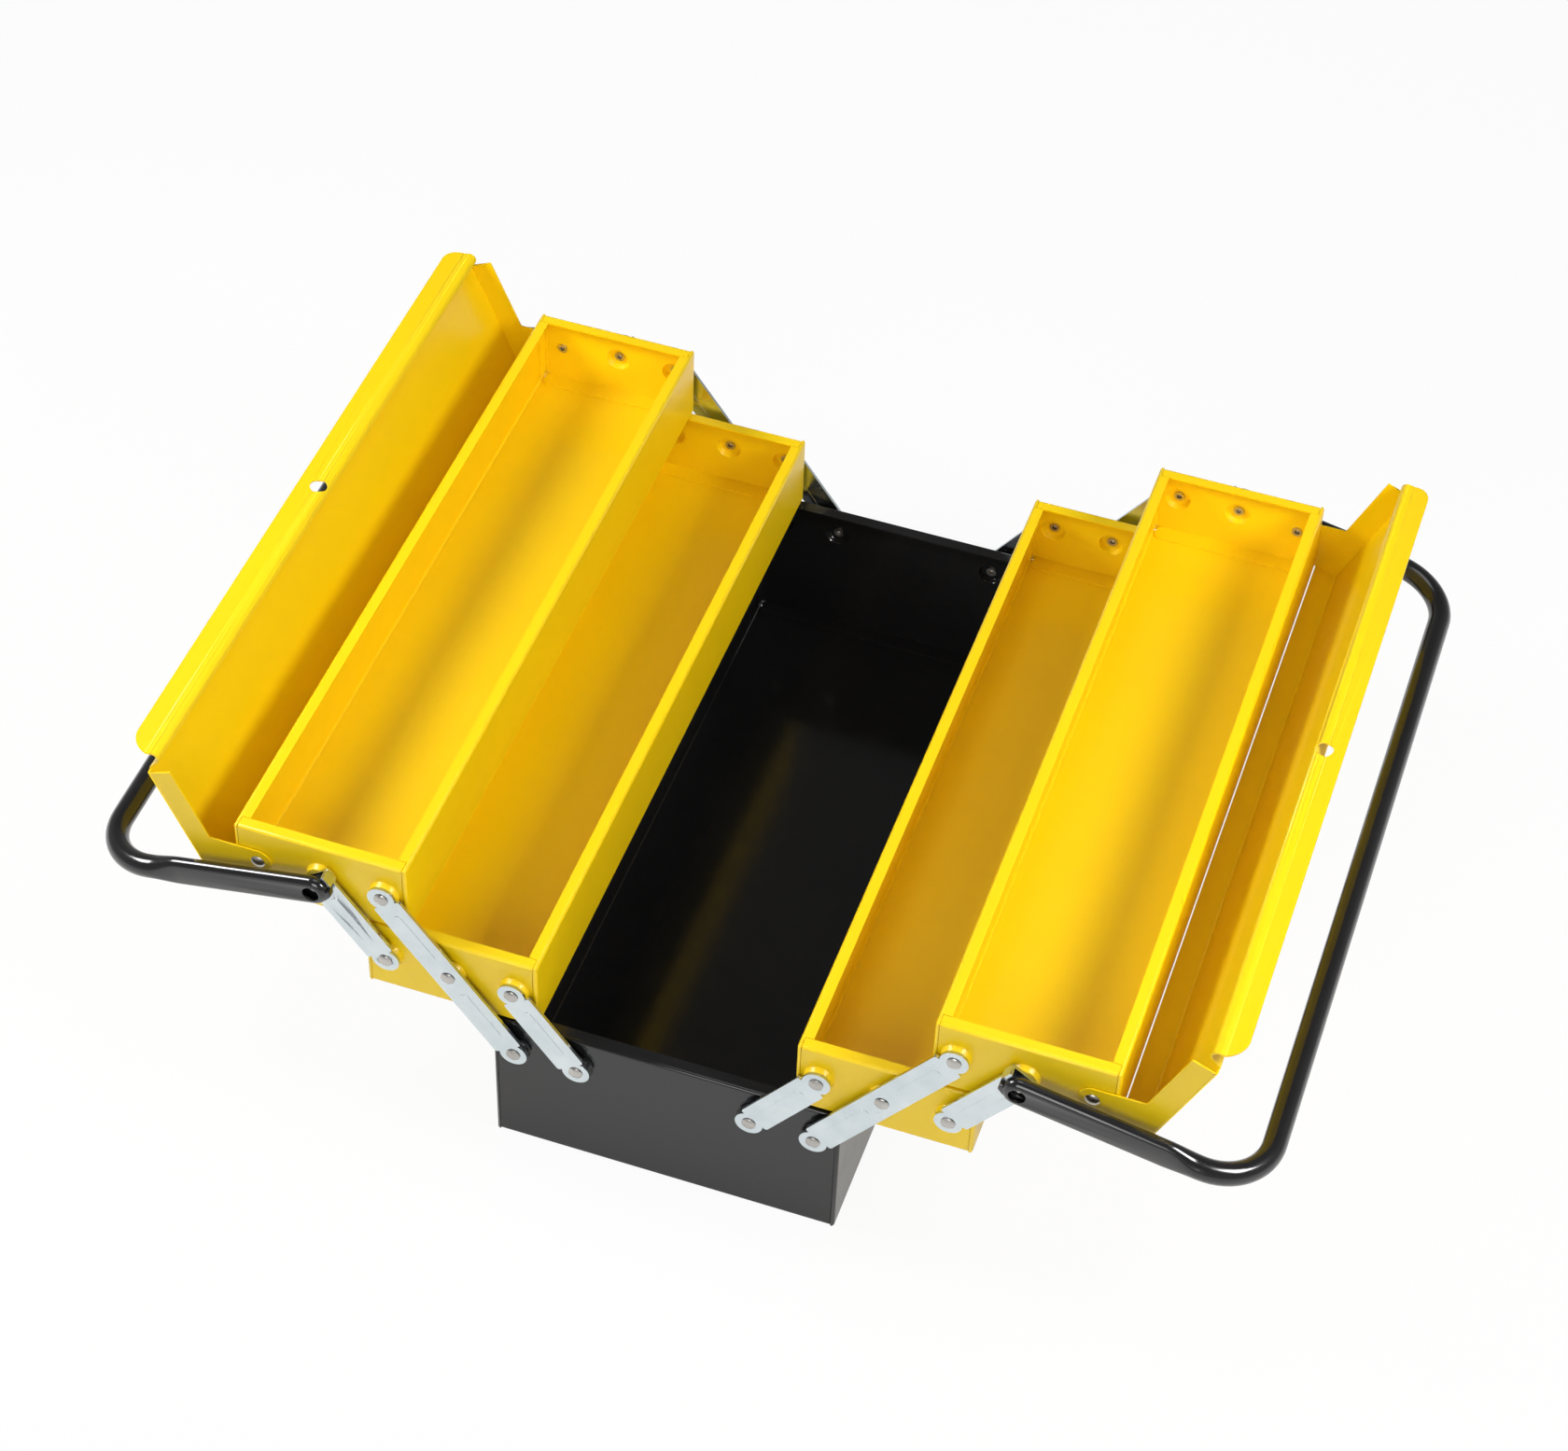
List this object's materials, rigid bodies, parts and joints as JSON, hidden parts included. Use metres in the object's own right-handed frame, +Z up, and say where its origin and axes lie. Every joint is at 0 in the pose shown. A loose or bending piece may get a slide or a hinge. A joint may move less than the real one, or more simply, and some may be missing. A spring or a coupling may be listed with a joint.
{
  "type": "tool_box",
  "caption": "Cantilever tool box in folded steel, shown fanned open, with stepped trays on links, hinged lids and two folding carry handles.",
  "frame": {"origin": "Middle of the base on the surface it stands on.", "axes": "+X to the right trays, +Y along the case to its rear end, +Z up."},
  "size_m": [0.6646, 0.4838, 0.2354],
  "materials": {
    "yellow_paint": "gloss powder coat",
    "black_paint": "semi-gloss powder coat",
    "handle_gloss": "gloss paint",
    "zinc_plate": "bright zinc plate",
    "rivet_steel": "nickel plate"
  },
  "bodies": {
    "base": {"base_shell": "black_paint", "base_end_front": "black_paint", "base_end_rear": "black_paint", "base_rivets": "rivet_steel"},
    "inner_links_left": {"inner_link_front_left": "zinc_plate", "inner_link_rear_left": "zinc_plate"},
    "long_links_left": {"long_link_front_left": "zinc_plate", "long_link_rear_left": "zinc_plate"},
    "outer_links_left": {"outer_link_front_left": "zinc_plate", "outer_link_rear_left": "zinc_plate"},
    "lower_tray_left": {"lower_tray_shell_left": "yellow_paint", "lower_tray_end_front_left": "yellow_paint", "lower_tray_end_rear_left": "yellow_paint", "lower_rivets_left": "rivet_steel"},
    "upper_tray_left": {"upper_tray_shell_left": "yellow_paint", "upper_tray_end_front_left": "yellow_paint", "upper_tray_end_rear_left": "yellow_paint", "upper_rivets_left": "rivet_steel", "handle_rivets_left": "rivet_steel", "lid_rivets_left": "rivet_steel"},
    "lid_left": {"lid_left": "yellow_paint"},
    "handle_left": {"handle_left": "handle_gloss"},
    "inner_links_right": {"inner_link_front_right": "zinc_plate", "inner_link_rear_right": "zinc_plate"},
    "long_links_right": {"long_link_front_right": "zinc_plate", "long_link_rear_right": "zinc_plate"},
    "outer_links_right": {"outer_link_front_right": "zinc_plate", "outer_link_rear_right": "zinc_plate"},
    "lower_tray_right": {"lower_tray_shell_right": "yellow_paint", "lower_tray_end_front_right": "yellow_paint", "lower_tray_end_rear_right": "yellow_paint", "lower_rivets_right": "rivet_steel"},
    "upper_tray_right": {"upper_tray_shell_right": "yellow_paint", "upper_tray_end_front_right": "yellow_paint", "upper_tray_end_rear_right": "yellow_paint", "upper_rivets_right": "rivet_steel", "handle_rivets_right": "rivet_steel", "lid_rivets_right": "rivet_steel"},
    "lid_right": {"lid_right": "yellow_paint"},
    "handle_right": {"handle_right": "handle_gloss"}
  },
  "joints": [
    {"name": "fan_left", "type": "hinge", "parent": "base", "child": "long_links_left", "pos_m": [-0.0865, 0, 0.077], "axis": [0, 1, 0], "range_deg": [0, 72.26]},
    {"name": "lower_tray_level_left", "type": "hinge", "parent": "long_links_left", "child": "lower_tray_left", "pos_m": [-0.123, 0, 0.127], "axis": [0, 1, 0], "range_deg": [-72.26, 0]},
    {"name": "upper_tray_level_left", "type": "hinge", "parent": "long_links_left", "child": "upper_tray_left", "pos_m": [-0.1595, 0, 0.177], "axis": [0, 1, 0], "range_deg": [-72.26, 0]},
    {"name": "inner_link_left", "type": "hinge", "parent": "base", "child": "inner_links_left", "pos_m": [-0.05, 0, 0.077], "axis": [0, 1, 0], "range_deg": [0, 72.26]},
    {"name": "outer_link_left", "type": "hinge", "parent": "lower_tray_left", "child": "outer_links_left", "pos_m": [-0.1595, 0, 0.127], "axis": [0, 1, 0], "range_deg": [0, 72.26]},
    {"name": "lid_left", "type": "hinge", "parent": "upper_tray_left", "child": "lid_left", "pos_m": [-0.2325, 0, 0.175], "axis": [0, 1, 0], "range_deg": [0, 113.1]},
    {"name": "handle_left", "type": "hinge", "parent": "outer_links_left", "child": "handle_left", "pos_m": [-0.196, 0, 0.177], "axis": [0, 1, 0], "range_deg": [0, 48.3]},
    {"name": "fan_right", "type": "hinge", "parent": "base", "child": "long_links_right", "pos_m": [0.0865, 0, 0.077], "axis": [0, -1, 0], "range_deg": [0, 72.26]},
    {"name": "lower_tray_level_right", "type": "hinge", "parent": "long_links_right", "child": "lower_tray_right", "pos_m": [0.123, 0, 0.127], "axis": [0, -1, 0], "range_deg": [-72.26, 0]},
    {"name": "upper_tray_level_right", "type": "hinge", "parent": "long_links_right", "child": "upper_tray_right", "pos_m": [0.1595, 0, 0.177], "axis": [0, -1, 0], "range_deg": [-72.26, 0]},
    {"name": "inner_link_right", "type": "hinge", "parent": "base", "child": "inner_links_right", "pos_m": [0.05, 0, 0.077], "axis": [0, -1, 0], "range_deg": [0, 72.26]},
    {"name": "outer_link_right", "type": "hinge", "parent": "lower_tray_right", "child": "outer_links_right", "pos_m": [0.1595, 0, 0.127], "axis": [0, -1, 0], "range_deg": [0, 72.26]},
    {"name": "lid_right", "type": "hinge", "parent": "upper_tray_right", "child": "lid_right", "pos_m": [0.2325, 0, 0.175], "axis": [0, -1, 0], "range_deg": [0, 113.1]},
    {"name": "handle_right", "type": "hinge", "parent": "outer_links_right", "child": "handle_right", "pos_m": [0.196, 0, 0.177], "axis": [0, -1, 0], "range_deg": [0, 48.3]}
  ],
  "couplings": [
    {"joint": "lower_tray_level_left", "follows": "fan_left", "ratio": -1},
    {"joint": "upper_tray_level_left", "follows": "fan_left", "ratio": -1},
    {"joint": "inner_link_left", "follows": "fan_left", "ratio": 1},
    {"joint": "outer_link_left", "follows": "fan_left", "ratio": 1},
    {"joint": "lower_tray_level_right", "follows": "fan_right", "ratio": -1},
    {"joint": "upper_tray_level_right", "follows": "fan_right", "ratio": -1},
    {"joint": "inner_link_right", "follows": "fan_right", "ratio": 1},
    {"joint": "outer_link_right", "follows": "fan_right", "ratio": 1}
  ]
}
